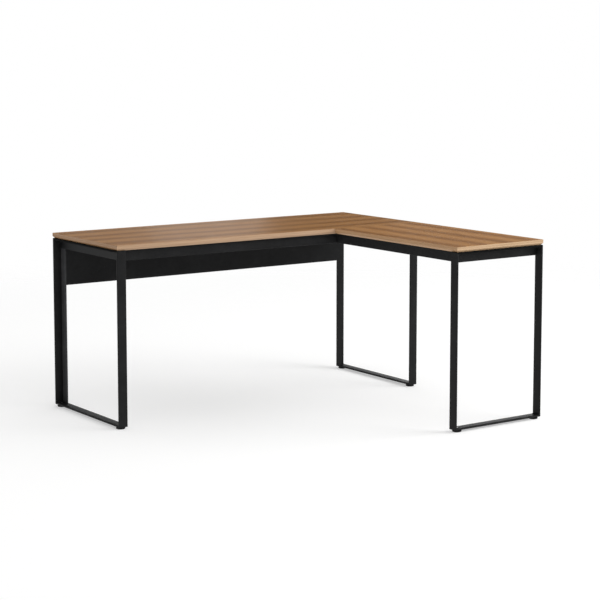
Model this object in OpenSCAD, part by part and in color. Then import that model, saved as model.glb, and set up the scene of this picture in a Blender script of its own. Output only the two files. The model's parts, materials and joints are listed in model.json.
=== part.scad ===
// Corner desk. A main top and a narrower return top meet at right angles. Three
// welded flat-bar legs and four tube rails carry them, a folded steel modesty
// panel closes the back, and six screw glides level the desk.
// Millimetres, +Z up. The origin is on the floor, at the centre of the
// rectangle that the desk stands in. +X is to the right and +Y to the back.

/* [Desk] */
// Length of the main top, from side to side
main_l = 1524; // [1300:1:1800]
// Depth of the main top, from front to back
main_d = 559; // [500:1:760]
// Length of the return, forwards from the main top's front edge
return_l = 810; // [600:1:1200]
// Width of the return top
return_w = 457; // [400:1:620]
// Height of the work surface above the floor
desk_h = 743; // [700:1:780]

/* [Tops] */
// Thickness of both tops
top_t = 22; // [20:0.5:30]
// Height of the undercut along the lower edge of each top
undercut_h = 8; // [3:0.5:12]
// How far the undercut leans in under the top
undercut_in = 7; // [2:0.5:10]
// Size of the small chamfer round the upper edge
arris = 0.6; // [0.2:0.1:1.5]
// Gap between the two tops where they meet
seam_gap = 0.6; // [0.2:0.1:2]

/* [Legs] */
// Width of the flat bar that the legs are welded from
bar_w = 40; // [36:1:50]
// Thickness of the flat bar
bar_t = 8; // [6:0.5:10]
// Thickness of the aprons and upright webs along the bar's inner edge
web_t = 6; // [5:0.5:8]
// Width of the upright web along each back post
web_w = 35; // [30:1:45]

/* [Rails] */
// Height of the rails, which is the apron's depth below the tops
rail_h = 45; // [40:1:60]
// Depth of the rectangular tube that the rails are cut from
rail_d = 20; // [15:1:30]
// Wall thickness of the tube
rail_wall = 1.5; // [1.2:0.1:3]
// Thickness of the end plates
plate_t = 5; // [4:0.5:6]
// Width of the end plates, tube included
plate_w = 50; // [45:1:60]

/* [Modesty panel] */
// How far the panel hangs below the tops
panel_drop = 199; // [120:1:260]
// Thickness of the panel's sheet steel
panel_t = 1.5; // [1:0.1:2]
// Width of the flanges folded back at the panel's ends
panel_flange = 20; // [16:1:24]
// Width of the hems folded back along its upper and lower edges
panel_hem = 12; // [8:1:18]

/* [Glides] */
// Height of a glide when it is screwed right in
glide_h = 9; // [8:0.5:14]
// Diameter of the glide's pad
pad_d = 38; // [30:1:39]
// Distance of a glide's centre from the end of its floor bar
glide_in = 23.5; // [22:0.5:40]
// Diameter of the glide's threaded stud
stud_d = 8; // [6:1:10]

/* [Hidden] */
$fn = 48;
wood = [0.56, 0.41, 0.26];
black = [0.13, 0.13, 0.14];
zinc = [0.62, 0.63, 0.65];
nylon = [0.08, 0.08, 0.09];
rubber = [0.2, 0.2, 0.2];

// Edges of the desk in plan
x_left = -main_l / 2;
x_right = main_l / 2;
x_inner = x_right - return_w;
y_back = (main_d + return_l) / 2;
y_seam = y_back - main_d;
y_front = -y_back;

// Levels
under_top = desk_h - top_t;
under_bar = under_top - bar_t;
rail_z = under_top - rail_h;
floor_bar_top = glide_h + bar_t;
panel_z = under_top - panel_drop;

// Insets
rail_in = bar_w - web_t;       // aprons and rails stand back this far from the tops' edges
rear_in = bar_t + web_w;       // the panel is level with the front edges of the back posts' webs
right_rail_in = bar_w + 0.5;   // the return's right rail passes just inside the right leg
bolt_side = rail_d + (plate_w - rail_d) / 2;
bolt_rise = [10, 27];

// Fasteners
fit = 0.05;                    // radial play of a threaded part in its hole
m6 = 6;
m6_clear = 6.6;
m6_head = [10.5, 3.3, 4];      // head diameter, head height, hex across flats
m5 = 5;
m5_clear = 5.5;
m5_head = [9.5, 2.8, 3];
m6_flat = [11.3, 4];           // countersunk head diameter, hex across flats
wood_screw = 4;
wood_flat = [8, 2.5];
insert_d = 9;
insert_l = 12;
nut_w = 10;
nut_t = 5;
tap_depth = 5;                 // blind tapped holes leave the outer faces clean

// Angle brackets that hold the tops to the rails
tab_w = 30;
tab_d = 25;
tab_t = 3;
tab_screw_l = 12;

// Flat plates across the seam
seam_plate = [60, 60, 3];
seam_hole = [20, 18];
seam_screw_l = 15;
seam_x = [x_inner + 130, x_right - 150];

// Each leg's own frame in plan: corner, direction across the bar from its outer
// edge, direction along the leg, length along the leg, places of its top screws
left_leg = [[x_left, y_seam], [1, 0], [0, 1], main_d, [60, main_d / 2, main_d - 60]];
right_leg = [[x_right, y_seam], [-1, 0], [0, 1], main_d, [60, main_d / 2, main_d - 60]];
return_leg = [[x_inner, y_front], [0, 1], [1, 0], return_w, [60, return_w / 2, return_w - 60]];
LEGS = [left_leg, right_leg, return_leg];

// Rail ends against a leg's apron: corner, direction away from the apron,
// direction across the plate from the rail's outer face
LEG_ENDS = [
    [[x_left + bar_w, y_seam + rail_in], [1, 0], [0, 1]],
    [[x_right - bar_w, y_seam + rail_in], [-1, 0], [0, 1]],
    [[x_left + bar_w, y_back - rear_in], [1, 0], [0, -1]],
    [[x_right - bar_w, y_back - rear_in], [-1, 0], [0, -1]],
    [[x_inner + rail_in, y_front + bar_w], [0, 1], [1, 0]],
    [[x_right - right_rail_in, y_front + bar_w], [0, 1], [-1, 0]]
];

// The return rails' other ends, against the front rail
RAIL_ENDS = [
    [[x_inner + rail_in, y_seam + rail_in], [0, -1], [1, 0]],
    [[x_right - right_rail_in, y_seam + rail_in], [0, -1], [-1, 0]]
];

// Brackets: a point on the rail's inner face, direction away from the rail,
// direction along it
inner_front = y_seam + rail_in + rail_d;
inner_back = y_back - rear_in - rail_d;
return_mid = [for (share = [0.3, 0.75]) y_front + share * return_l];
TABS = concat(
    [for (x = [-0.36, 0, 0.36] * main_l) [[x, inner_front], [0, 1], [1, 0]]],
    [for (x = [-0.33, 0, 0.33] * main_l) [[x, inner_back], [0, -1], [1, 0]]],
    [for (y = return_mid) [[x_inner + rail_in + rail_d, y], [1, 0], [0, 1]]],
    [for (y = return_mid) [[x_right - right_rail_in - rail_d, y], [-1, 0], [0, 1]]]
);

// Centres of the glides
GLIDES = [
    ["left_front", left_leg, glide_in],
    ["left_back", left_leg, main_d - glide_in],
    ["right_front", right_leg, glide_in],
    ["right_back", right_leg, main_d - glide_in],
    ["return_left", return_leg, glide_in],
    ["return_right", return_leg, return_w - glide_in]
];

function in_frame(frame, a, b) = frame[0] + a * frame[1] + b * frame[2];
function with_z(p, z) = [p[0], p[1], z];

// Where the machine screws enter the tops from below
LEG_SCREWS = [for (leg = LEGS) for (v = leg[4]) in_frame(leg, bar_w / 2, v)];
TAB_SCREWS = [for (t = TABS) in_frame(t, tab_d / 2 + tab_t / 2, 0)];
MAIN_INSERTS = [for (p = concat(LEG_SCREWS, TAB_SCREWS)) if (p[1] > y_seam) p];
RETURN_INSERTS = [for (p = concat(LEG_SCREWS, TAB_SCREWS)) if (p[1] < y_seam) p];
SEAM_SCREWS = [for (x = seam_x) for (sx = [-1, 1]) for (sy = [-1, 1])
    [x + sx * seam_hole[0], y_seam + sy * seam_hole[1]]];

// Modesty panel screws: into the rear rail, and into the back posts' webs
panel_y = y_back - rear_in;
PANEL_RAIL_X = [for (i = [-3:3]) i * 0.145 * main_l];
PANEL_WEB_Z = [panel_z + 25, panel_z + 80, rail_z - 20];
panel_web_v = main_d - rear_in + 10;

// ---- Frames and repeated shapes ----

// Puts x along the frame's first direction and y along its second
module in_plan(frame, z = 0) {
    multmatrix([
        [frame[1][0], frame[2][0], 0, frame[0][0]],
        [frame[1][1], frame[2][1], 0, frame[0][1]],
        [0, 0, 1, z],
        [0, 0, 0, 1]
    ]) children();
}

// A board with straight upper edges and an undercut below, mitred at the corners
module board(length, depth) {
    intersection() {
        rotate([90, 0, 90]) linear_extrude(length) edge_profile(depth);
        translate([0, depth, 0]) rotate([90, 0, 0]) linear_extrude(depth) edge_profile(length);
    }
}

module edge_profile(width) {
    polygon([
        [undercut_in, 0], [width - undercut_in, 0], [width, undercut_h], [width, top_t - arris],
        [width - arris, top_t], [arris, top_t], [0, top_t - arris], [0, undercut_h]
    ]);
}

// A flat bar whose outline in the leg's plane is given, one bar width deep
module flat_bar(outline) {
    rotate([90, 0, 90]) linear_extrude(bar_w) polygon(outline);
}

module bore(d, z0, z1) {
    translate([0, 0, z0]) cylinder(d = d, h = z1 - z0);
}

// A screw that points up, with its head below z = 0
module machine_screw(d, length, head) {
    difference() {
        union() {
            translate([0, 0, -head[1] / 2]) cylinder(d = head[0], h = head[1] / 2);
            translate([0, 0, -head[1]]) cylinder(d1 = head[0] * 0.6, d2 = head[0], h = head[1] / 2);
            cylinder(d = d - 2 * fit, h = length);
        }
        translate([0, 0, -head[1] - 1]) hex_socket(head[2], head[1] * 0.6 + 1);
    }
}

// A countersunk screw that points up, with its head's face at z = 0
module flat_screw(d, length, head) {
    difference() {
        union() {
            flat_head(d, head[0]);
            cylinder(d = d - 2 * fit, h = length);
        }
        translate([0, 0, -1]) hex_socket(head[1], 3.2);
    }
}

module flat_head(d, head_d) {
    cylinder(d1 = head_d, d2 = d, h = (head_d - d) / 2);
}

module hex_socket(across_flats, depth) {
    cylinder(d = across_flats / cos(30), h = depth, $fn = 6);
}

// ---- Tops ----

module main_top() {
    color(wood) difference() {
        translate([x_left, y_seam, under_top]) board(main_l, main_d);
        top_bores(MAIN_INSERTS, insert_d, insert_l);
        top_bores([for (p = SEAM_SCREWS) if (p[1] > y_seam) p], wood_screw, seam_screw_l);
    }
}

module return_top() {
    color(wood) difference() {
        translate([x_inner, y_front, under_top]) board(return_w, return_l - seam_gap);
        top_bores(RETURN_INSERTS, insert_d, insert_l);
        top_bores([for (p = SEAM_SCREWS) if (p[1] < y_seam) p], wood_screw, seam_screw_l);
    }
}

module top_bores(points, d, depth) {
    for (p = points) translate(with_z(p, under_top)) bore(d, -1, depth);
}

module inserts(points) {
    color(zinc) for (p = points) translate(with_z(p, under_top)) difference() {
        cylinder(d = insert_d, h = insert_l);
        bore(m6, -1, insert_l + 1);
    }
}

// ---- Legs, each in its own frame ----

module leg_top_bar(leg) {
    d = leg[3];
    color(black) in_plan(leg) difference() {
        flat_bar([[0, under_top], [d, under_top], [d - bar_t, under_bar], [bar_t, under_bar]]);
        for (v = leg[4]) translate([bar_w / 2, v, under_bar]) {
            bore(m6_clear, -1, bar_t + 1);
            flat_head(m6, m6_flat[0] + 0.4);
        }
    }
}

module leg_floor_bar(leg) {
    d = leg[3];
    color(black) in_plan(leg) difference() {
        flat_bar([[0, glide_h], [d, glide_h], [d - bar_t, floor_bar_top], [bar_t, floor_bar_top]]);
        for (v = [glide_in, d - glide_in]) translate([bar_w / 2, v, glide_h])
            bore(stud_d + 2 * fit, -1, bar_t + 1);
    }
}

module near_post(leg) {
    color(black) in_plan(leg)
        flat_bar([[0, glide_h], [0, under_top], [bar_t, under_bar], [bar_t, floor_bar_top]]);
}

module far_post(leg) {
    d = leg[3];
    color(black) in_plan(leg)
        flat_bar([[d, glide_h], [d, under_top], [d - bar_t, under_bar], [d - bar_t, floor_bar_top]]);
}

module leg_apron(leg) {
    color(black) difference() {
        in_plan(leg, rail_z) translate([rail_in, bar_t, 0]) cube([web_t, leg[3] - 2 * bar_t, rail_h - bar_t]);
        at_bolts(LEG_ENDS) bore(m6, plate_t - 1, plate_t + tap_depth);
    }
}

module leg_back_web(leg) {
    color(black) in_plan(leg) difference() {
        translate([rail_in, leg[3] - bar_t - web_w, floor_bar_top])
            cube([web_t, web_w, rail_z - floor_bar_top]);
        at_panel_web_screws() bore(m5, 0, panel_t + tap_depth);
    }
}

// ---- Rails ----

// Each rail end's bolts, with z along the bolt and its head's seat at z = 0
module at_bolts(ends) {
    for (end = ends) in_plan(end, rail_z) for (rise = bolt_rise)
        translate([plate_t, bolt_side, rise]) rotate([0, -90, 0]) children();
}

module tube(length, depth) {
    along_x = length > depth;
    hollow = along_x ? [length + 2, depth - 2 * rail_wall] : [length - 2 * rail_wall, depth + 2];
    start = along_x ? [-1, rail_wall] : [rail_wall, -1];
    difference() {
        cube([length, depth, rail_h]);
        translate([start[0], start[1], rail_wall]) cube([hollow[0], hollow[1], rail_h - 2 * rail_wall]);
    }
}

module front_rail() {
    color(black) difference() {
        translate([x_left + bar_w + plate_t, y_seam + rail_in, rail_z]) tube(main_rail_l(), rail_d);
        at_bolts(RAIL_ENDS) bore(m6_clear, plate_t - 1, plate_t + 2 * rail_wall);
    }
}

module rear_rail() {
    color(black) difference() {
        translate([x_left + bar_w + plate_t, inner_back, rail_z]) tube(main_rail_l(), rail_d);
        at_panel_rail_screws() bore(m5, 0, panel_t + rail_wall + 1);
    }
}

function main_rail_l() = main_l - 2 * (bar_w + plate_t);
function return_rail_l() = return_l + rail_in - bar_w - 2 * plate_t;

module return_rail(x) {
    color(black) translate([x, y_front + bar_w + plate_t, rail_z]) tube(rail_d, return_rail_l());
}

module rail_end_plates() {
    ends = concat(LEG_ENDS, RAIL_ENDS);
    color(black) difference() {
        for (end = ends) in_plan(end, rail_z) cube([plate_t, plate_w, rail_h]);
        at_bolts(ends) bore(m6_clear, -1, plate_t + 1);
    }
}

module rail_bolts() {
    color(zinc) at_bolts(LEG_ENDS) machine_screw(m6, plate_t + tap_depth - 1, m6_head);
}

module return_joint_bolts() {
    color(zinc) at_bolts(RAIL_ENDS) machine_screw(m6, plate_t + rail_wall + nut_t + 1, m6_head);
}

module return_joint_nuts() {
    color(zinc) at_bolts(RAIL_ENDS) translate([0, 0, plate_t + rail_wall]) difference() {
        cylinder(d = nut_w / cos(30), h = nut_t, $fn = 6);
        bore(m6, -1, nut_t + 1);
    }
}

// ---- Fixings of the tops ----

module top_brackets() {
    color(black) for (t = TABS) in_plan(t) difference() {
        union() {
            translate([0, -tab_w / 2, under_top - tab_t]) cube([tab_d, tab_w, tab_t]);
            translate([0, -tab_w / 2, under_top - tab_d]) cube([tab_t, tab_w, tab_d]);
        }
        translate([tab_d / 2 + tab_t / 2, 0, under_top]) bore(m6_clear, -tab_t - 1, 1);
    }
}

module bracket_screws() {
    color(zinc) for (p = TAB_SCREWS)
        translate(with_z(p, under_top - tab_t)) machine_screw(m6, tab_screw_l, m6_head);
}

module leg_top_screws() {
    color(zinc) for (p = LEG_SCREWS)
        translate(with_z(p, under_bar)) flat_screw(m6, bar_t + insert_l - 2, m6_flat);
}

module seam_plates() {
    color(zinc) difference() {
        for (x = seam_x) translate([x - seam_plate[0] / 2, y_seam - seam_plate[1] / 2,
            under_top - seam_plate[2]]) cube(seam_plate);
        for (p = SEAM_SCREWS) translate(with_z(p, under_top - seam_plate[2])) {
            bore(wood_screw + 0.5, -1, seam_plate[2] + 1);
            flat_head(wood_screw, wood_flat[0] + 0.3);
        }
    }
}

module seam_plate_screws() {
    color(zinc) for (p = SEAM_SCREWS)
        translate(with_z(p, under_top - seam_plate[2])) flat_screw(wood_screw, seam_screw_l, wood_flat);
}

// ---- Modesty panel ----

// Screws into the rear rail's back face, with z along each screw
module at_panel_rail_screws() {
    for (x = PANEL_RAIL_X) translate([x, panel_y + panel_t, rail_z + rail_h / 2])
        rotate([90, 0, 0]) children();
}

// Screws into a leg's web, in that leg's frame, with z along each screw
module at_panel_web_screws() {
    for (z = PANEL_WEB_Z) translate([bar_w + panel_t, panel_web_v, z]) rotate([0, -90, 0]) children();
}

module modesty_panel() {
    length = main_l - 2 * bar_w;
    height = panel_drop - 1;
    color(black) difference() {
        translate([x_left + bar_w, panel_y, panel_z]) {
            cube([length, panel_t, height]);
            for (z = [0, height - panel_t]) translate([0, 0, z]) cube([length, panel_hem, panel_t]);
            for (x = [0, length - panel_t]) translate([x, 0, 0]) cube([panel_t, panel_flange, height]);
        }
        at_panel_rail_screws() bore(m5_clear, -1, panel_t + 0.5);
        for (leg = [left_leg, right_leg]) in_plan(leg) at_panel_web_screws() bore(m5_clear, -1, panel_t + 0.5);
    }
}

module panel_screws() {
    color(zinc) {
        at_panel_rail_screws() machine_screw(m5, panel_t + rail_wall + 4, m5_head);
        for (leg = [left_leg, right_leg]) in_plan(leg)
            at_panel_web_screws() machine_screw(m5, panel_t + tap_depth - 1, m5_head);
    }
}

// ---- Glides, screwed right in ----

stud_head = [13, 3, 3];        // diameter, height, height above the floor
head_play = 0.08;              // play of the stud's head inside the pad
sole_t = 1.5;
sole_d = pad_d - 8;

module at_glide(g) {
    translate(with_z(in_frame(g[1], bar_w / 2, g[2]), 0)) children();
}

module glide_pad(g) {
    color(nylon) at_glide(g) difference() {
        rotate_extrude($fn = 64) pad_profile();
        bore(sole_d, -1, sole_t);
        bore(stud_head[0] + 2 * head_play, stud_head[2] - head_play, stud_head[2] + stud_head[1] + head_play);
        bore(stud_d + 2 * head_play, stud_head[2], glide_h + 1);
    }
}

module pad_profile() {
    rim = pad_d / 2;
    polygon([[0, 0.4], [rim - 2.2, 0.4], [rim - 0.6, 1.4], [rim, 3.2], [rim - 0.3, 5.5],
        [rim - 1.6, 7.6], [rim - 4, glide_h], [0, glide_h]]);
}

module glide_sole(g) {
    color(rubber) at_glide(g) cylinder(d = sole_d - 0.2, h = sole_t);
}

module glide_stud(g) {
    color(zinc) at_glide(g) difference() {
        union() {
            translate([0, 0, stud_head[2]]) cylinder(d = stud_head[0], h = stud_head[1]);
            bore(stud_d, stud_head[2], floor_bar_top);
        }
        translate([-stud_d, -0.6, floor_bar_top - 2]) cube([2 * stud_d, 1.2, 3]);
    }
}

// ---- Nodes ----

main_top();
return_top();
leg_top_bar(left_leg);  // left_leg_top_bar
near_post(left_leg);  // left_leg_front_post
far_post(left_leg);  // left_leg_back_post
leg_floor_bar(left_leg);  // left_leg_floor_bar
leg_apron(left_leg);  // left_leg_apron
leg_back_web(left_leg);  // left_leg_back_web
leg_top_bar(right_leg);  // right_leg_top_bar
near_post(right_leg);  // right_leg_front_post
far_post(right_leg);  // right_leg_back_post
leg_floor_bar(right_leg);  // right_leg_floor_bar
leg_apron(right_leg);  // right_leg_apron
leg_back_web(right_leg);  // right_leg_back_web
leg_top_bar(return_leg);  // return_leg_top_bar
near_post(return_leg);  // return_leg_left_post
far_post(return_leg);  // return_leg_right_post
leg_floor_bar(return_leg);  // return_leg_floor_bar
leg_apron(return_leg);  // return_leg_apron
front_rail();
rear_rail();
return_rail(x_inner + rail_in);  // return_left_rail
return_rail(x_right - right_rail_in - rail_d);  // return_right_rail
rail_end_plates();
top_brackets();
seam_plates();
modesty_panel();
inserts(MAIN_INSERTS);  // main_top_inserts
inserts(RETURN_INSERTS);  // return_top_inserts
leg_top_screws();
bracket_screws();
seam_plate_screws();
rail_bolts();
return_joint_bolts();
return_joint_nuts();
panel_screws();
for (g = GLIDES) {
    glide_pad(g);
    glide_sole(g);
    glide_stud(g);
}
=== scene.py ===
"""Corner desk: wood-look tops on welded flat-bar legs, in a plain pale studio.

The loops' bars, the glides' pads and their studs get meshes of their own in place of the CAD's, and
welds are added. The other CAD nodes keep their meshes, and the larger ones get softened edges.
Lengths are in metres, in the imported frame: the origin is on the floor under the middle of the desk,
+X is right along the main top, +Y is back and +Z is up."""

import json
import math

import bmesh
import bpy
from mathutils import Matrix, Vector


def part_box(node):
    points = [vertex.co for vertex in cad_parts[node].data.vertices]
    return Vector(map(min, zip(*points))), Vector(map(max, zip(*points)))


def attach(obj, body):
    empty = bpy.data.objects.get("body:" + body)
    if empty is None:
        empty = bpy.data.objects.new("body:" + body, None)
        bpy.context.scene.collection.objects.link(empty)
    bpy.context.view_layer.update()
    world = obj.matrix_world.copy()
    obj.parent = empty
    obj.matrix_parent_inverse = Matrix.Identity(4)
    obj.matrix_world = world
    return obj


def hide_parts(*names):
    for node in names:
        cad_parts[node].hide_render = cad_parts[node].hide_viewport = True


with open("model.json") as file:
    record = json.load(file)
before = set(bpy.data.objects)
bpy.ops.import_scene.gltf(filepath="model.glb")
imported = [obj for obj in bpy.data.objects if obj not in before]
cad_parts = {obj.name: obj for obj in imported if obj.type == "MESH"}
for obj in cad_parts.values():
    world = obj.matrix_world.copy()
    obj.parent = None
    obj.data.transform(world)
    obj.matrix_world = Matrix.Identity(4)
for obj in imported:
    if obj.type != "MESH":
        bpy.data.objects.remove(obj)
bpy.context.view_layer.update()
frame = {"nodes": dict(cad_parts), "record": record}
nodes = frame["nodes"]

MM = 0.001
SAME_PLACE = 1e-7       # vertices nearer than this are one
GLIDES = ("left_front", "left_back", "right_front", "right_back", "return_left", "return_right")


# ---------------------------------------------------------------- camera

# The photograph's standpoint: front left of the desk, a little above the tops. The photograph's own
# camera is level and has a larger shift. A slight pitch in its place keeps the desk inside raised
# views too
CAMERA_PLACE = Vector((-3.982, -5.720, 1.541))
CAMERA_YAW = math.radians(35.06)
CAMERA_PITCH = math.radians(6.26)
CAMERA_LENS = 101.6
CAMERA_SHIFT_Y = -0.12


def make_camera():
    data = bpy.data.cameras.new("camera")
    data.sensor_width = 36
    data.lens = CAMERA_LENS
    data.shift_y = CAMERA_SHIFT_Y
    data.clip_end = 200
    camera = bpy.data.objects.new("camera", data)
    camera.location = CAMERA_PLACE
    camera.rotation_euler = (math.radians(90) - CAMERA_PITCH, 0, -CAMERA_YAW)
    bpy.context.scene.collection.objects.link(camera)
    bpy.context.scene.camera = camera


make_camera()


# ---------------------------------------------------------------- node trees


def shaded(colour, share):
    return tuple(c * share for c in colour)


def tinted(stops, tint):
    """The ramp stops with each colour's channels multiplied by the tint's."""
    return [(place, tuple(c * t for c, t in zip(colour, tint))) for place, colour in stops]


class Surface:
    """A material with one Principled shader, and short names for the nodes that feed it."""

    def __init__(self, name, **settings):
        self.material = bpy.data.materials.new(name)
        self.material.use_nodes = True
        self.tree = self.material.node_tree
        self.tree.nodes.clear()
        self.shader = self.tree.nodes.new("ShaderNodeBsdfPrincipled")
        self.output = self.tree.nodes.new("ShaderNodeOutputMaterial")
        self.finish_with(self.shader.outputs[0])
        for key, value in settings.items():
            self.feed(self.shader.inputs[key.replace("_", " ")], value)

    def finish_with(self, shader):
        self.tree.links.new(shader, self.output.inputs["Surface"])

    def feed(self, socket, value):
        if isinstance(value, bpy.types.NodeSocket):
            self.tree.links.new(value, socket)
        elif isinstance(value, tuple) and len(value) == 3 and socket.type == "RGBA":
            socket.default_value = (*value, 1)
        else:
            socket.default_value = value

    def add(self, kind, inputs=(), **props):
        node = self.tree.nodes.new("ShaderNode" + kind)
        for key, value in props.items():
            setattr(node, key, value)
        for key, value in dict(inputs).items():
            self.feed(node.inputs[key], value)
        return node

    def place(self):
        return self.add("TexCoord").outputs["Object"]

    def facing(self):
        return self.add("TexCoord").outputs["Normal"]

    def split(self, vector):
        return self.add("SeparateXYZ", {0: vector}).outputs

    def join(self, x, y, z):
        return self.add("CombineXYZ", {0: x, 1: y, 2: z}).outputs[0]

    def math(self, operation, a, b=0.0):
        return self.add("Math", {0: a, 1: b}, operation=operation).outputs[0]

    def scaled(self, vector, x, y, z):
        inputs = {0: vector, 1: (x, y, z)}
        return self.add("VectorMath", inputs, operation="MULTIPLY").outputs[0]

    def noise(self, vector, scale, detail, roughness=0.5):
        inputs = {"Vector": vector, "Scale": scale, "Detail": detail, "Roughness": roughness}
        return self.add("TexNoise", inputs).outputs[0]

    def remap(self, value, low, high, to_low=0.0, to_high=1.0, smooth=False):
        kind = "SMOOTHSTEP" if smooth else "LINEAR"
        inputs = {0: value, 1: low, 2: high, 3: to_low, 4: to_high}
        return self.add("MapRange", inputs, interpolation_type=kind).outputs[0]

    def ramp(self, value, stops):
        """A colour ramp from (place, colour) pairs."""
        node = self.add("ValToRGB", {0: value})
        elements = node.color_ramp.elements
        while len(elements) < len(stops):
            elements.new(0.5)
        for element, (place, colour) in zip(elements, stops):
            element.position = place
            element.color = (*colour, 1)
        return node.outputs[0]

    def shades(self, value, colour, *stops):
        """A ramp of one colour, from (place, share of the colour) pairs."""
        return self.ramp(value, [(place, shaded(colour, share)) for place, share in stops])

    def mix(self, share, a, b, blend="MIX"):
        node = self.add("Mix", data_type="RGBA", blend_type=blend)
        self.feed(node.inputs[0], share)
        self.feed(node.inputs[6], a)
        self.feed(node.inputs[7], b)
        return node.outputs[2]

    def weighted(self, *pairs):
        """The sum of socket * weight over the pairs."""
        total = None
        for socket, weight in pairs:
            part = self.math("MULTIPLY", socket, weight)
            total = part if total is None else self.math("ADD", total, part)
        return total

    def bump(self, height, strength, depth):
        inputs = {"Strength": strength, "Distance": depth, "Height": height}
        self.feed(self.shader.inputs["Normal"], self.add("Bump", inputs).outputs[0])


# ---------------------------------------------------------------- wood

# Ramps: the face from its dark stripes to its palest grain, the edge band from its darkest streak
# to its palest, and the unseen underside
BOARD_RAMP = (
    (0.00, (0.212, 0.088, 0.022)),
    (0.36, (0.303, 0.134, 0.038)),
    (0.68, (0.386, 0.182, 0.056)),
    (1.00, (0.472, 0.241, 0.085)),
)
BAND_RAMP = (
    (0.0, (0.300, 0.184, 0.100)),
    (0.5, (0.390, 0.252, 0.148)),
    (1.0, (0.480, 0.326, 0.204)),
)
UNDERSIDE_RAMP = ((0.3, (0.045, 0.034, 0.027)), (0.7, (0.075, 0.058, 0.046)))
PORE_COLOUR = (0.055, 0.030, 0.015)

LEAF_SWAY = 34 * MM     # sideways wander of the leaves of veneer, over the noise's whole range
LEAF_SHIFT = 0.37       # how far the figure moves along the grain from one leaf to the next
LEAF_STEP = 0.11        # and how far it moves through the noise
RINGS = 26.0            # growth rings over the whole range of the slow noise that they follow


def veneer_leaves(s, run, cross, leaf, first_dark):
    """The place across the wandering leaves, each leaf's number, and a tone that is 0 where two
    leaves meet and 1 in their middles."""
    drift_place = s.join(s.math("MULTIPLY", run, 1.6), s.math("MULTIPLY", cross, 5.0), 0.0)
    drift = s.math("SUBTRACT", s.noise(drift_place, 1.0, 2.0), 0.5)
    across = s.math("ADD", cross, s.math("MULTIPLY", drift, LEAF_SWAY))
    turns = s.math("DIVIDE", s.math("SUBTRACT", across, first_dark), leaf)
    wave = s.math("COSINE", s.math("MULTIPLY", turns, 2 * math.pi))
    crest = s.math("POWER", s.remap(wave, -1.0, 1.0), 1.6)
    return across, s.math("FLOOR", turns), s.math("SUBTRACT", 1.0, crest)


def growth_lines(s, grain):
    """Contours of a long, slow noise: each ring starts pale and ends in a dark late-wood line."""
    growth = s.noise(s.scaled(grain, 0.9, 15.0, 1.0), 1.0, 1.5, 0.45)
    ring = s.math("FRACT", s.math("MULTIPLY", growth, RINGS))
    line_end = s.remap(ring, 0.97, 1.0, 1.0, 0.0)
    return s.math("MULTIPLY", s.math("POWER", ring, 3.0), line_end)


def edge_band(s, facing_x, band_tint, side_painted_light):
    """Paler and plainer than the board, its streaks level all the way round. On the two side
    edges, which face along X, its colour is multiplied by side_painted_light: painted light and shade.
    """
    fine = s.noise(s.scaled(s.place(), 5.0, 5.0, 620.0), 1.0, 3.0, 0.6)
    broad = s.noise(s.scaled(s.place(), 1.7, 1.7, 110.0), 1.0, 2.0)
    tone = s.remap(s.weighted((fine, 0.6), (broad, 0.5)), 0.35, 0.78)
    band = s.ramp(tone, tinted(BAND_RAMP, band_tint))
    # Painted light and shade: the side edges that face along X are made lighter or darker than the front
    # and back ones, as the light falls on them
    painted_light_sides = s.remap(s.math("ABSOLUTE", facing_x), 0.5, 0.8, smooth=True)
    return s.mix(painted_light_sides, band, s.mix(1.0, band, side_painted_light, "MULTIPLY"))


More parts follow.
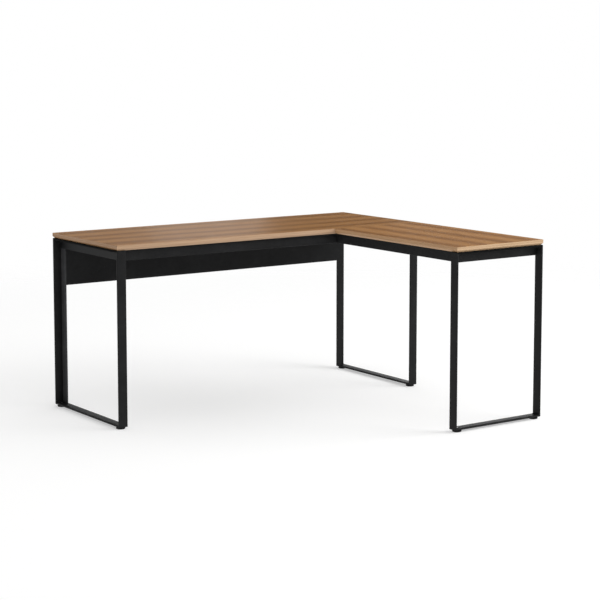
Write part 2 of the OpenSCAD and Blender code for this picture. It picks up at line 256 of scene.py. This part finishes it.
def wood_surface(name, along, leaf, first_dark, stripe_share, tint, band_tint, side_painted_light):
    """Brown wood-grain laminate. along is the grain's axis, 0 for X or 1 for Y; leaf is the width
    of a leaf of veneer, and first_dark the place across the grain of one of the dark stripes
    between two leaves. side_painted_light multiplies the edge band's colour on the two side edges,
    which face along X: painted light and shade, lighter or darker than the front and back edges."""
    s = Surface(name, Specular_IOR_Level=0.18)
    x, y, _ = s.split(s.place())
    run, cross = (x, y) if along == 0 else (y, x)
    across, leaf_no, stripe = veneer_leaves(s, run, cross, leaf, first_dark)

    # Each leaf has its own figure: long streaks, finer lines and short fibres. The three scales are
    # along the grain, across it and from leaf to leaf
    shift = s.math("MULTIPLY", leaf_no, LEAF_SHIFT)
    grain = s.join(s.math("ADD", run, shift), across, s.math("MULTIPLY", leaf_no, LEAF_STEP))
    streaks = s.noise(s.scaled(grain, 4.0, 120.0, 1.0), 1.0, 3.0, 0.55)
    lines = s.noise(s.scaled(grain, 9.0, 420.0, 1.0), 1.0, 2.0, 0.6)
    fibres = s.noise(s.scaled(grain, 38.0, 1700.0, 1.0), 1.0, 2.0, 0.6)
    broad = s.noise(s.scaled(grain, 1.1, 9.0, 1.0), 1.0, 2.0)
    tone = s.weighted(
        (stripe, stripe_share), (streaks, 0.42), (lines, 0.34), (fibres, 0.18), (broad, 0.20))
    tone = s.math("SUBTRACT", tone, s.math("MULTIPLY", growth_lines(s, grain), 0.16))
    board = s.ramp(s.remap(tone, 0.43, 0.90), tinted(BOARD_RAMP, tint))

    # Open pores: short dark dashes, sparse
    dashes = s.noise(s.scaled(grain, 85.0, 2400.0, 1.0), 1.0, 1.0, 0.5)
    pores = s.remap(dashes, 0.64, 0.74, smooth=True)
    board = s.mix(s.math("MULTIPLY", pores, 0.45), board, PORE_COLOUR)

    facing_x, _, facing_z = s.split(s.facing())
    is_top = s.remap(facing_z, 0.62, 0.82, smooth=True)
    is_under = s.remap(facing_z, -0.82, -0.94, smooth=True)
    underside = s.ramp(s.noise(s.scaled(grain, 30.0, 300.0, 1.0), 1.0, 2.0), UNDERSIDE_RAMP)
    colour = s.mix(is_top, edge_band(s, facing_x, band_tint, side_painted_light), board)
    s.feed(s.shader.inputs["Base Color"], s.mix(is_under, colour, underside))

    worn = s.noise(s.place(), 14.0, 3.0, 0.6)
    dulling = s.weighted((worn, 0.07), (fibres, 0.06), (pores, 0.08))
    s.feed(s.shader.inputs["Roughness"], s.math("ADD", dulling, 0.27))
    raised = s.weighted((fibres, 0.6), (lines, 0.4))
    s.bump(s.math("SUBTRACT", raised, s.math("MULTIPLY", pores, 0.8)), 0.35, 0.06 * MM)
    return s.material


# ---------------------------------------------------------------- coated metal, plastics, hardware


def coat_surface(name, shade, sheen, rough, grit):
    """Powder coat: fine pebbled skin, with slow changes of sheen and shade."""
    s = Surface(name, Specular_IOR_Level=sheen)
    cloud = s.noise(s.place(), 9.0, 3.0, 0.6)
    pebble = s.noise(s.place(), 1100.0, 2.0, 0.5)
    orange = s.noise(s.place(), 260.0, 2.0, 0.5)
    dust = s.noise(s.place(), 60.0, 4.0, 0.7)
    tone = s.weighted((cloud, 0.40), (dust, 0.25), (pebble, 0.35))
    colour = s.shades(tone, shade, (0.34, 0.60), (0.50, 1.0), (0.66, 1.55))
    s.feed(s.shader.inputs["Base Color"], colour)
    spread = s.weighted((cloud, 0.10), (dust, 0.06), (pebble, 0.08))
    s.feed(s.shader.inputs["Roughness"], s.math("ADD", spread, rough - 0.12))
    s.bump(s.weighted((pebble, 0.6), (orange, 0.4)), grit, 0.3 * MM)
    return s.material


def metal_surface(name, shade, rough, metallic=1.0):
    """Plated or blackened hardware with a faint drawn grain and dull patches."""
    s = Surface(name, Metallic=metallic)
    patches = s.noise(s.place(), 420.0, 3.0, 0.6)
    drawn = s.noise(s.scaled(s.place(), 900.0, 900.0, 5200.0), 1.0, 2.0)
    s.feed(s.shader.inputs["Base Color"], s.shades(patches, shade, (0.30, 0.72), (0.70, 1.0)))
    spread = s.weighted((patches, 0.16), (drawn, 0.08))
    s.feed(s.shader.inputs["Roughness"], s.math("ADD", spread, rough - 0.12))
    s.bump(drawn, 0.2, 0.04 * MM)
    return s.material


def plastic_surface(name, shade, sheen, rough, scale, depth):
    """Moulded nylon or rubber with its spark-eroded texture."""
    s = Surface(name, Specular_IOR_Level=sheen)
    erode = s.noise(s.place(), scale, 3.0, 0.6)
    scuff = s.noise(s.place(), scale * 0.06, 2.0, 0.6)
    s.feed(s.shader.inputs["Base Color"], s.shades(scuff, shade, (0.30, 0.75), (0.70, 1.25)))
    spread = s.weighted((erode, 0.10), (scuff, 0.12))
    s.feed(s.shader.inputs["Roughness"], s.math("ADD", spread, rough - 0.11))
    s.bump(erode, 0.4, depth)
    return s.material


main_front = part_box("main_top")[0].y
return_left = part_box("return_top")[0].x

BLACK = (0.0120, 0.0122, 0.0127)
SURFACES = {
    # side_painted_light is painted light and shade on each top's side edges, not the band's own colour
    "main_wood": wood_surface(
        "main_wood", along=0, leaf=138 * MM, first_dark=main_front + 80 * MM, stripe_share=0.245,
        tint=(1.05, 1.045, 1.01), band_tint=(1.03, 1.04, 1.10), side_painted_light=(0.89, 0.78, 0.64)),
    "return_wood": wood_surface(
        "return_wood", along=1, leaf=126 * MM, first_dark=return_left + 20 * MM, stripe_share=0.265,
        tint=(1.13, 1.12, 1.10), band_tint=(1.14, 1.175, 1.18), side_painted_light=(1.03, 0.92, 0.82)),
    "black_coat": coat_surface("black_coat", BLACK, sheen=0.10, rough=0.50, grit=0.60),
    "panel_coat": coat_surface("panel_coat", shaded(BLACK, 0.88), sheen=0.10, rough=0.52, grit=0.50),
    # Painted light: a lighter copy of the black coat, for the left back web only, standing in for the
    # light on that face
    "web_painted_light_coat": coat_surface("web_painted_light_coat", shaded(BLACK, 3.5), sheen=0.10, rough=0.56, grit=0.60),
    # Painted shade: a darker, duller copy of the black coat for the loops' top bars, which sit in shade
    # under the tops
    "top_bar_painted_shade_coat": coat_surface(
        "top_bar_painted_shade_coat", shaded(BLACK, 0.45), sheen=0.03, rough=0.66, grit=0.60),
    "zinc": metal_surface("zinc", (0.56, 0.57, 0.59), rough=0.34),
    "insert_zinc": metal_surface("insert_zinc", (0.62, 0.54, 0.36), rough=0.36),
    "screw_black": metal_surface("screw_black", (0.030, 0.030, 0.032), rough=0.38, metallic=0.6),
    "nylon": plastic_surface(
        "nylon", (0.010, 0.010, 0.011), sheen=0.22, rough=0.46, scale=1500.0, depth=0.08 * MM),
    "sole_rubber": plastic_surface(
        "sole_rubber", (0.018, 0.018, 0.019), sheen=0.20, rough=0.66, scale=900.0, depth=0.10 * MM),
}


# ---------------------------------------------------------------- pieces


def add_piece(name, mesh, body, slot, replaced=(), surface=None):
    """Puts a mesh, given in the row frame, into the scene as a piece that rides on a body. Its
    surface is the slot's own, unless another is named."""
    obj = bpy.data.objects.new(name, mesh)
    bpy.context.scene.collection.objects.link(obj)
    mesh.materials.append(SURFACES[surface or slot])
    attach(obj, body)
    if replaced:
        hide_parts(*replaced)
    return obj


def finished(bm, name, smooth_angle=35):
    """A mesh from bm, welded, facing outwards and smooth up to an angle."""
    bmesh.ops.remove_doubles(bm, verts=bm.verts, dist=SAME_PLACE)
    bmesh.ops.dissolve_degenerate(bm, edges=bm.edges, dist=SAME_PLACE)
    bmesh.ops.recalc_face_normals(bm, faces=bm.faces)
    mesh = bpy.data.meshes.new(name)
    bm.to_mesh(mesh)
    bm.free()
    shade_by_angle(mesh, smooth_angle)
    return mesh


def shade_by_angle(mesh, degrees):
    mesh.shade_smooth()
    mesh.set_sharp_from_angle(angle=math.radians(degrees))


def level_ring(bm, centre, radius, z, count):
    """A ring of vertices round a vertical axis, or the one vertex on the axis."""
    if radius == 0:
        return [bm.verts.new(centre + Vector((0, 0, z)))]
    angles = [2 * math.pi * i / count for i in range(count)]
    return [bm.verts.new(centre + Vector((radius * math.cos(a), radius * math.sin(a), z)))
            for a in angles]


def bridge(bm, rings):
    """Faces between successive rings of vertices. A ring of one vertex is a tip."""
    for a, b in zip(rings, rings[1:]):
        count = max(len(a), len(b))
        for i in range(count):
            j = (i + 1) % count
            corners = (a[i % len(a)], a[j % len(a)], b[j % len(b)], b[i % len(b)])
            bm.faces.new(list(dict.fromkeys(corners)))


def lathe(profile, centre, name, segments=48, smooth_angle=40):
    """A closed solid of revolution from (radius, z) pairs, which start and end on the axis."""
    bm = bmesh.new()
    bridge(bm, [level_ring(bm, centre, radius, z, segments) for radius, z in profile])
    return finished(bm, name, smooth_angle)


def cut(mesh, cutters, name):
    """mesh less each cutter mesh, by exact boolean."""
    obj = bpy.data.objects.new(name + "_uncut", mesh)
    bpy.context.scene.collection.objects.link(obj)
    tools = []
    for i, cutter in enumerate(cutters):
        tool = bpy.data.objects.new(f"{name}_tool_{i}", cutter)
        bpy.context.scene.collection.objects.link(tool)
        tools.append(tool)
        modifier = obj.modifiers.new("cut", "BOOLEAN")
        modifier.object = tool
        modifier.operation = "DIFFERENCE"
        modifier.solver = "EXACT"
    bpy.context.view_layer.update()
    evaluated = obj.evaluated_get(bpy.context.evaluated_depsgraph_get())
    result = bpy.data.meshes.new_from_object(evaluated)
    for old in [obj, *tools]:
        bpy.data.objects.remove(old)
    result.name = name
    shade_by_angle(result, 35)
    return result


# ---------------------------------------------------------------- flat-bar loops

EDGE_R = 2.4 * MM       # rounded edges of the flat bar
EDGE_STEPS = 6
OUTER_R = 2.5 * MM      # outer corners of the loops, ground round after welding
OUTER_STEPS = 4

BORE_R = 4.05 * MM      # bore for a stud in the floor bar
BORE_CHAMFER = 0.5 * MM
SCREW_R = 3.3 * MM      # clearance hole for a top screw in the top bar
SINK_R = 5.85 * MM      # rim of its countersink
CUTTER_PAST = 1 * MM    # how far a cutter stands out of the bar

WELD_LEG = 3.2 * MM     # fillets in the loops' corners
WELD_RIPPLE = 0.10
WELD_PITCH = 2.2 * MM   # length of one ripple of a weld
WELD_RINGS = 3          # and rings of vertices to a ripple
FILLET_STEPS = 5
FILLET_SINK = 0.275     # how far a fillet's face falls short of a round one: 0.293 would be flat


class Leg:
    """One loop of flat bar. outer says for X and Y whether the loop's outer corner is at the high
    (1) or the low (0) side of its box. near is the post at that corner and far the other one.
    along points from near to far, and across from the bars' outer edges inwards."""

    def __init__(self, name, near, far, outer, across, along):
        self.name = name
        boxes = [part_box(f"{name}_{part}") for part in ("top_bar", near, far, "floor_bar")]
        low = Vector([min(b[0][i] for b in boxes) for i in range(3)])
        high = Vector([max(b[1][i] for b in boxes) for i in range(3)])
        self.along = Vector(along)
        self.across = Vector(across)
        size = high - low
        self.length = abs(size.dot(self.along))
        self.width = abs(size.dot(self.across))
        self.floor = low.z
        self.top = high.z
        self.bar = boxes[0][1].z - boxes[0][0].z
        self.corner = Vector([high[i] if outer[i] else low[i] for i in range(2)] + [0.0])
        self.parts = ("floor_bar", far, "top_bar", near)

    def point(self, a, z, q):
        """The point a along the loop, at height z and q across the bar."""
        return self.corner + self.along * a + self.across * q + Vector((0, 0, z))


LEGS = (
    Leg("left_leg", "front_post", "back_post", (0, 0), (1, 0, 0), (0, 1, 0)),
    Leg("right_leg", "front_post", "back_post", (1, 0), (-1, 0, 0), (0, 1, 0)),
    Leg("return_leg", "left_post", "right_post", (0, 0), (0, 1, 0), (1, 0, 0)),
)


def bar_section(thickness, width):
    """The bar's section as (inset from the outer face, distance across)."""
    points = []
    deep, wide = thickness - EDGE_R, width - EDGE_R
    for p, q, start in ((EDGE_R, EDGE_R, 270), (EDGE_R, wide, 180), (deep, wide, 90), (deep, EDGE_R, 0)):
        for i in range(EDGE_STEPS + 1):
            a = math.radians(start - 90 * i / EDGE_STEPS)
            points.append((p + EDGE_R * math.cos(a), q + EDGE_R * math.sin(a)))
    return points


def bar_mesh(leg, index, name):
    """One mitred bar of a loop, with its half of both corners."""
    corners = [(0, leg.floor), (leg.length, leg.floor), (leg.length, leg.top), (0, leg.top)]
    start, end = Vector(corners[index]), Vector(corners[(index + 1) % 4])
    way = (end - start).normalized()
    inward = Vector((-way.y, way.x))
    section = bar_section(leg.bar, leg.width)
    bm = bmesh.new()
    rings = []
    # From the mitre to the end of the round corner, and the other way round at the far end
    angles = [math.radians(45 * (1 - i / OUTER_STEPS)) for i in range(OUTER_STEPS + 1)]
    for corner, sign, order in ((start, 1, angles), (end, -1, angles[::-1])):
        run = way * sign
        for angle in order:
            ring = []
            for p, q in section:
                spot = corner + (run + inward) * p
                if p < OUTER_R:
                    centre = corner + (run + inward) * OUTER_R
                    turn = run * math.sin(angle) + inward * math.cos(angle)
                    spot = centre - turn * (OUTER_R - p)
                ring.append(bm.verts.new(leg.point(spot.x, spot.y, q)))
            rings.append(ring)
    bridge(bm, rings)
    bm.faces.new(rings[0])
    bm.faces.new(rings[-1])
    return finished(bm, name)


def hole_centres(node):
    """Centres in plan of the vertical holes that a CAD bar has, from its inner rings of vertices."""
    inset = 2 * MM          # a hole's vertices are more than this inside the bar's outline
    hole_width = 14 * MM    # less than this from one another
    fewest = 9              # and at least so many
    lo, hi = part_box(node)
    spots = [v.co for v in nodes[node].data.vertices
             if lo.x + inset < v.co.x < hi.x - inset and lo.y + inset < v.co.y < hi.y - inset]
    groups = []
    for spot in sorted(spots, key=lambda c: (round(c.x, 5), round(c.y, 5), round(c.z, 5))):
        for group in groups:
            if (group[0].xy - spot.xy).length < hole_width:
                group.append(spot)
                break
        else:
            groups.append([spot])
    return [middle(group) for group in groups if len(group) >= fewest]


def middle(points):
    """The middle, in plan, of the box round the points."""
    xs = [p.x for p in points]
    ys = [p.y for p in points]
    return Vector(((min(xs) + max(xs)) / 2, (min(ys) + max(ys)) / 2, 0))


def glide_centre(glide):
    return middle(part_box(glide + "_glide_pad"))


def bore_cutters(leg):
    """Cutters for the studs' bores in a loop's floor bar, chamfered at the top."""
    low, high = leg.floor, leg.floor + leg.bar
    profile = [
        (0, low - CUTTER_PAST),
        (BORE_R, low - CUTTER_PAST),
        (BORE_R, high - BORE_CHAMFER),
        (BORE_R + 2 * BORE_CHAMFER, high + BORE_CHAMFER),
        (0, high + BORE_CHAMFER),
    ]
    side = leg.name.removesuffix("leg")
    return [lathe(profile, glide_centre(glide), "bore") for glide in GLIDES if glide.startswith(side)]


def sink_cutters(leg, node):
    """Cutters for the countersunk screw holes in a loop's top bar, sunk from below."""
    low, high = leg.top - leg.bar, leg.top
    profile = [
        (0, low - CUTTER_PAST),
        (SINK_R + CUTTER_PAST, low - CUTTER_PAST),
        (SCREW_R, low + SINK_R - SCREW_R),
        (SCREW_R, high + CUTTER_PAST),
        (0, high + CUTTER_PAST),
    ]
    return [lathe(profile, spot, "sink") for spot in hole_centres(node)]


def leg_bars(leg):
    for index, part in enumerate(leg.parts):
        node = f"{leg.name}_{part}"
        name = node + "_rolled"
        mesh = bar_mesh(leg, index, name)
        if part == "floor_bar":
            mesh = cut(mesh, bore_cutters(leg), name)
        if part == "top_bar":
            mesh = cut(mesh, sink_cutters(leg, node), name)
        # The top bars get the darker, duller copy of the black coat: painted shade under the tops
        surface = "top_bar_painted_shade_coat" if part == "top_bar" else "black_coat"
        add_piece(name, mesh, "desk", "black_coat", (node,), surface)


def fillet_strip(bm, start, end, side_a, side_b, radius, ripple):
    """A weld fillet from start to end, in the corner between directions side_a and side_b."""
    length = (end - start).length
    way = (end - start) / length
    count = max(2, int(length / (WELD_PITCH / WELD_RINGS)))
    rings = []
    for i in range(count + 1):
        along = length * i / count
        r = radius * (1 + ripple * abs(math.sin(math.pi * along / WELD_PITCH)))
        base = start + way * along
        ring = [bm.verts.new(base)]
        for k in range(FILLET_STEPS + 1):
            a = math.pi / 2 * k / FILLET_STEPS
            reach = r * (1 - FILLET_SINK * math.sin(2 * a))
            ring.append(bm.verts.new(base + (side_a * math.cos(a) + side_b * math.sin(a)) * reach))
        rings.append(ring)
    bridge(bm, rings)
    bm.faces.new(rings[0])
    bm.faces.new(rings[-1])


def corner_welds(leg):
    """Small fillets in the four inner corners of a loop, across the bar's flat width."""
    bm = bmesh.new()
    up = Vector((0, 0, 1))
    for a, side in ((leg.bar, leg.along), (leg.length - leg.bar, -leg.along)):
        for z, rise in ((leg.floor + leg.bar, up), (leg.top - leg.bar, -up)):
            start = leg.point(a, z, EDGE_R)
            end = leg.point(a, z, leg.width - EDGE_R)
            fillet_strip(bm, start, end, side, rise, WELD_LEG, WELD_RIPPLE)
    mesh = finished(bm, leg.name + "_corner_welds", smooth_angle=60)
    add_piece(leg.name + "_corner_welds", mesh, "desk", "black_coat")


for one_leg in LEGS:
    leg_bars(one_leg)
    corner_welds(one_leg)


# ---------------------------------------------------------------- welds of the rails' end plates

# The side of each rail, towards + or -, past which its end plates reach. Only there is there room
# for a weld
PLATE_SIDES = {"front_rail": 1, "rear_rail": -1, "return_left_rail": 1, "return_right_rail": -1}
RAIL_WELD_LEG = 2.6 * MM
RAIL_WELD_RIPPLE = 0.14
RAIL_CORNER = 2 * MM    # how far a weld stays from the tube's upper and lower edges


def rail_welds():
    """A small rippled fillet on one side of each tube where it meets its end plates."""
    bm = bmesh.new()
    units = [Vector((1, 0, 0)), Vector((0, 1, 0))]
    for rail, out in PLATE_SIDES.items():
        lo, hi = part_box(rail)
        axis = 0 if hi.x - lo.x > hi.y - lo.y else 1
        other = 1 - axis
        for place, inward in ((lo[axis], 1), (hi[axis], -1)):
            ends = [Vector((0, 0, z)) for z in (lo.z + RAIL_CORNER, hi.z - RAIL_CORNER)]
            for end in ends:
                end[axis] = place
                end[other] = hi[other] if out > 0 else lo[other]
            fillet_strip(bm, *ends, units[axis] * inward, units[other] * out,
                         RAIL_WELD_LEG, RAIL_WELD_RIPPLE)
    mesh = finished(bm, "rail_end_welds", smooth_angle=60)
    add_piece("rail_end_welds", mesh, "desk", "black_coat")


rail_welds()


# ---------------------------------------------------------------- glides

PAD_GAP = 0.02 * MM     # keeps the pad's top just clear of the floor bar
PAD_ROUND = 3.4 * MM    # rounding of the pad's rim, below and above a short straight
PAD_STRAIGHT = 0.2 * MM
RIM_STEP = 18           # degrees from one point of the rounding to the next
SHOULDER = ((6.2 * MM, 7.3 * MM), (7.0 * MM, 7.6 * MM))     # (inset from the rim, height)
COLLAR_INSET = 7.6 * MM
COLLAR_ROUND = 0.3 * MM
SOLE_PLAY = 0.1 * MM    # round the sole, in its recess
STUD_PLAY = 0.08 * MM   # round the stud and its head

THREAD_R = 4.0 * MM     # M8
THREAD_PITCH = 1.25 * MM
THREAD_ROOT = THREAD_R - 0.61 * THREAD_PITCH
THREAD_FLAT = 1.15      # over 1, so that the crest of the thread is flat
THREAD_AROUND = 36      # vertices round the thread
THREAD_RINGS = 8        # and rings to a pitch
THREAD_CHAMFER = 0.6 * MM
HEAD_R = 6.5 * MM
HEAD_HEIGHT = 3 * MM
HEAD_CHAMFER = 0.3 * MM
SLOT_SIZE = (12 * MM, 1.2 * MM, 4 * MM)     # half of its height is in the stud


def pad_rim(rim, underside):
    """(radius, z) points round the pad's rim, from the underside up to the shallow shoulder."""
    points = []
    for degrees in range(-90, 90, RIM_STEP):
        a = math.radians(degrees)
        centre_z = underside + PAD_ROUND + (PAD_STRAIGHT if degrees > 0 else 0)
        points.append((rim - PAD_ROUND + PAD_ROUND * math.cos(a), centre_z + PAD_ROUND * math.sin(a)))
    return points


def pad_mesh(glide, name):
    """Moulded pad: flat foot, round rim, and a raised collar under the floor bar. It is hollow for
    the sole, and round the stud and its head."""
    lo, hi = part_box(glide + "_glide_pad")
    sole_lo, sole_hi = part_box(glide + "_glide_sole")
    head_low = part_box(glide + "_glide_stud")[0].z
    rim = (hi.x - lo.x) / 2
    top = hi.z - PAD_GAP
    recess_r = (sole_hi.x - sole_lo.x) / 2 + SOLE_PLAY
    recess = [(0, sole_hi.z), (recess_r, sole_hi.z), (recess_r, lo.z)]
    shoulder = [(rim - inset, lo.z + height) for inset, height in SHOULDER]
    collar = [(rim - COLLAR_INSET + COLLAR_ROUND, top - COLLAR_ROUND), (rim - COLLAR_INSET, top)]
    bore_r = THREAD_R + STUD_PLAY
    pocket_r = HEAD_R + STUD_PLAY
    pocket_low = head_low - STUD_PLAY
    pocket_high = head_low + HEAD_HEIGHT + STUD_PLAY
    hollow = [
        (bore_r, top),
        (bore_r, pocket_high),
        (pocket_r, pocket_high),
        (pocket_r, pocket_low),
        (0, pocket_low),
    ]
    profile = recess + pad_rim(rim, lo.z) + shoulder + collar + hollow
    return lathe(profile, glide_centre(glide), name, segments=96, smooth_angle=32)


def thread_radius(height, length, turn):
    """The thread's radius at a height above the head, and at a share of a turn round the stud."""
    phase = (height / THREAD_PITCH - turn) % 1.0
    crest = min(1.0, THREAD_FLAT * abs(2 * phase - 1))
    radius = THREAD_ROOT + (THREAD_R - THREAD_ROOT) * crest
    chamfered = THREAD_R - max(0.0, THREAD_CHAMFER - (length - height))
    return min(radius, chamfered)


def stud_mesh(glide, name):
    """M8 stud with its real helical thread and a driver slot, on top of a plain captive head."""
    lo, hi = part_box(glide + "_glide_stud")
    centre = glide_centre(glide)
    base = lo.z + HEAD_HEIGHT
    length = hi.z - base
    head = (
        (0, lo.z),
        (HEAD_R - HEAD_CHAMFER, lo.z),
        (HEAD_R, lo.z + HEAD_CHAMFER),
        (HEAD_R, base - HEAD_CHAMFER),
        (HEAD_R - HEAD_CHAMFER, base),
    )
    bm = bmesh.new()
    rings = [level_ring(bm, centre, radius, z, THREAD_AROUND) for radius, z in head]
    count = int(length / THREAD_PITCH * THREAD_RINGS)
    for i in range(count + 1):
        height = length * i / count
        ring = []
        for k in range(THREAD_AROUND):
            radius = thread_radius(height, length, k / THREAD_AROUND)
            a = 2 * math.pi * k / THREAD_AROUND
            spot = Vector((radius * math.cos(a), radius * math.sin(a), base + height))
            ring.append(bm.verts.new(centre + spot))
        rings.append(ring)
    bridge(bm, rings)
    bm.faces.new(rings[-1])
    mesh = finished(bm, name + "_blank", smooth_angle=50)

    slot = bmesh.new()
    place = Matrix.Translation(centre + Vector((0, 0, hi.z))) @ Matrix.Diagonal((*SLOT_SIZE, 1))
    bmesh.ops.create_cube(slot, size=1.0, matrix=place)
    return cut(mesh, [finished(slot, "slot")], name)


for one_glide in GLIDES:
    pad_name = one_glide + "_moulded_pad"
    pad = pad_mesh(one_glide, pad_name)
    add_piece(pad_name, pad, one_glide + "_glide", "nylon", (one_glide + "_glide_pad",))
    stud_name = one_glide + "_threaded_stud"
    stud = stud_mesh(one_glide, stud_name)
    add_piece(stud_name, stud, one_glide + "_stud", "zinc", (one_glide + "_glide_stud",))


# ---------------------------------------------------------------- CAD nodes that stay

# Width in mm of the rounding on the edges of the larger ones
SOFTEN = {
    "main_top": 0.35,
    "return_top": 0.35,
    "modesty_panel": 0.3,
    "rail_end_plates": 0.4,
    "top_brackets": 0.4,
    "seam_plates": 0.3,
    "front_rail": 1.2,
    "rear_rail": 1.2,
    "return_left_rail": 1.2,
    "return_right_rail": 1.2,
    "left_leg_apron": 0.5,
    "right_leg_apron": 0.5,
    "return_leg_apron": 0.5,
    "left_leg_back_web": 0.5,
    "right_leg_back_web": 0.5,
}


def soften(obj, width):
    """Rounds a CAD node's edges: joins its split vertices, then bevels by angle."""
    weld = obj.modifiers.new("weld", "WELD")
    weld.merge_threshold = 10 * SAME_PLACE
    bevel = obj.modifiers.new("round", "BEVEL")
    bevel.width = width
    bevel.segments = 2
    bevel.limit_method = "ANGLE"
    bevel.angle_limit = math.radians(30)


slots = {row["node"]: row["material_slot"] for row in frame["record"]["subparts"]}
for node_name, node_obj in nodes.items():
    node_obj.data.materials.clear()
    # The left back web gets the lighter copy of the black coat: painted light
    surface = "web_painted_light_coat" if node_name == "left_leg_back_web" else slots[node_name]
    node_obj.data.materials.append(SURFACES[surface])
    if node_name in SOFTEN:
        soften(node_obj, SOFTEN[node_name] * MM)


# ---------------------------------------------------------------- studio

FLOOR_RADIUS = 60
FLOOR_SOLID = 2.6       # the floor is whole up to this far from the origin
FLOOR_GONE = 5.5        # and gone for the camera from here on
FLOOR_GLOW = 0.42
FLOOR_RAMP = ((0.3, (0.615, 0.615, 0.613)), (0.7, (0.625, 0.625, 0.623)))
WHITE = (1.0, 1.0, 1.0)


def studio_floor():
    """White floor, which fades out for the camera some metres away so that no horizon shows."""
    bm = bmesh.new()
    bmesh.ops.create_circle(bm, cap_ends=True, segments=96, radius=FLOOR_RADIUS)
    mesh = finished(bm, "studio_floor")
    s = Surface("studio_floor", Specular_IOR_Level=0.0, Roughness=0.9, Emission_Strength=FLOOR_GLOW)
    s.feed(s.shader.inputs["Emission Color"], WHITE)
    speckle = s.noise(s.place(), 40.0, 3.0, 0.6)
    s.feed(s.shader.inputs["Base Color"], s.ramp(speckle, FLOOR_RAMP))
    reach = s.add("VectorMath", {0: s.place()}, operation="LENGTH").outputs["Value"]
    far = s.remap(reach, FLOOR_SOLID, FLOOR_GONE, smooth=True)
    gone = s.math("MULTIPLY", far, s.add("LightPath").outputs["Is Camera Ray"])
    clear = s.add("BsdfTransparent").outputs[0]
    s.finish_with(s.add("MixShader", {0: gone, 1: s.shader.outputs[0], 2: clear}).outputs[0])
    mesh.materials.append(s.material)
    floor = bpy.data.objects.new("studio_floor", mesh)
    bpy.context.scene.collection.objects.link(floor)


def studio_world(seen, lit, lean, mirrored):
    """White where the camera sees it, nearly black where it is mirrored, and in between for the
    light that it gives. That light grows towards the direction lean, by a share as large as lean
    is long."""
    world = bpy.data.worlds.new("studio")
    bpy.context.scene.world = world
    world.use_nodes = True
    tree = world.node_tree
    tree.nodes.clear()
    output = tree.nodes.new("ShaderNodeOutputWorld")
    background = tree.nodes.new("ShaderNodeBackground")
    rays = tree.nodes.new("ShaderNodeLightPath")
    glossy = tree.nodes.new("ShaderNodeMix")
    camera = tree.nodes.new("ShaderNodeMix")
    way = tree.nodes.new("ShaderNodeTexCoord")
    share = tree.nodes.new("ShaderNodeVectorMath")
    level = tree.nodes.new("ShaderNodeMath")
    share.operation = "DOT_PRODUCT"
    share.inputs[1].default_value = [lit * c for c in lean]
    level.operation = "ADD"
    level.inputs[1].default_value = lit
    glossy.inputs[3].default_value = mirrored
    camera.inputs[3].default_value = seen
    tree.links.new(way.outputs["Generated"], share.inputs[0])
    tree.links.new(share.outputs["Value"], level.inputs[0])
    tree.links.new(level.outputs[0], glossy.inputs[2])
    tree.links.new(rays.outputs["Is Glossy Ray"], glossy.inputs[0])
    tree.links.new(rays.outputs["Is Camera Ray"], camera.inputs[0])
    tree.links.new(glossy.outputs[0], camera.inputs[2])
    tree.links.new(camera.outputs[0], background.inputs["Strength"])
    background.inputs["Color"].default_value = (*WHITE, 1)
    tree.links.new(background.outputs[0], output.inputs["Surface"])


def soft_light(name, place, aim, size, radiance, lights):
    """A rectangular panel of a given radiance, which the camera doesn't see. It either lights the
    surfaces ("diffuse") or is only mirrored in them ("glossy")."""
    data = bpy.data.lights.new(name, "AREA")
    data.shape = "RECTANGLE"
    data.size, data.size_y = size
    data.energy = radiance * math.pi * size[0] * size[1]
    light = bpy.data.objects.new(name, data)
    light.location = place
    light.rotation_euler = (Vector(aim) - Vector(place)).to_track_quat("-Z", "Y").to_euler()
    light.visible_camera = False
    light.visible_diffuse = lights == "diffuse"
    light.visible_glossy = lights == "glossy"
    bpy.context.scene.collection.objects.link(light)


studio_floor()
studio_world(seen=1.0, lit=0.79, lean=(0.54, -0.38, 0.05), mirrored=0.05)

# From the front right, the key: one panel for what it lights, one for its reflection
soft_light("key", (3.8, -3.1, 2.9), (0.1, 0.0, 0.5), (3.2, 2.4), 5.9, "diffuse")
soft_light("key_mirrored", (2.8, -4.0, 2.9), (0.1, 0.0, 0.5), (3.2, 2.4), 3.0, "glossy")
# Mirrored in the tops, for the camera
soft_light("back_panel", (2.10, 4.73, 1.6), (-0.3, 0.4, 0.7), (1.6, 1.4), 0.26, "glossy")
soft_light("back_strip", (2.45, 4.60, 1.6), (-0.1, 0.4, 0.7), (0.8, 1.4), 0.38, "glossy")
soft_light("right_panel", (3.94, 3.33, 1.6), (0.5, -0.3, 0.7), (1.3, 1.4), 0.14, "glossy")
# Mirrored in the upper faces of the floor bars
soft_light("low_wall", (1.84, 2.62, 0.42), (0.0, 0.0, 0.42), (3.6, 0.84), 1.7, "glossy")
soft_light("low_wall_right", (2.27, 1.25, 0.38), (0.53, -0.68, 0.38), (1.1, 0.74), 2.2, "glossy")
# Mirrored in the faces that look left
soft_light("left_panel", (-3.6, 2.2, 0.9), (-0.2, 0.3, 0.4), (3.0, 2.0), 1.3, "glossy")
bpy.context.scene.view_settings.view_transform = "Standard"
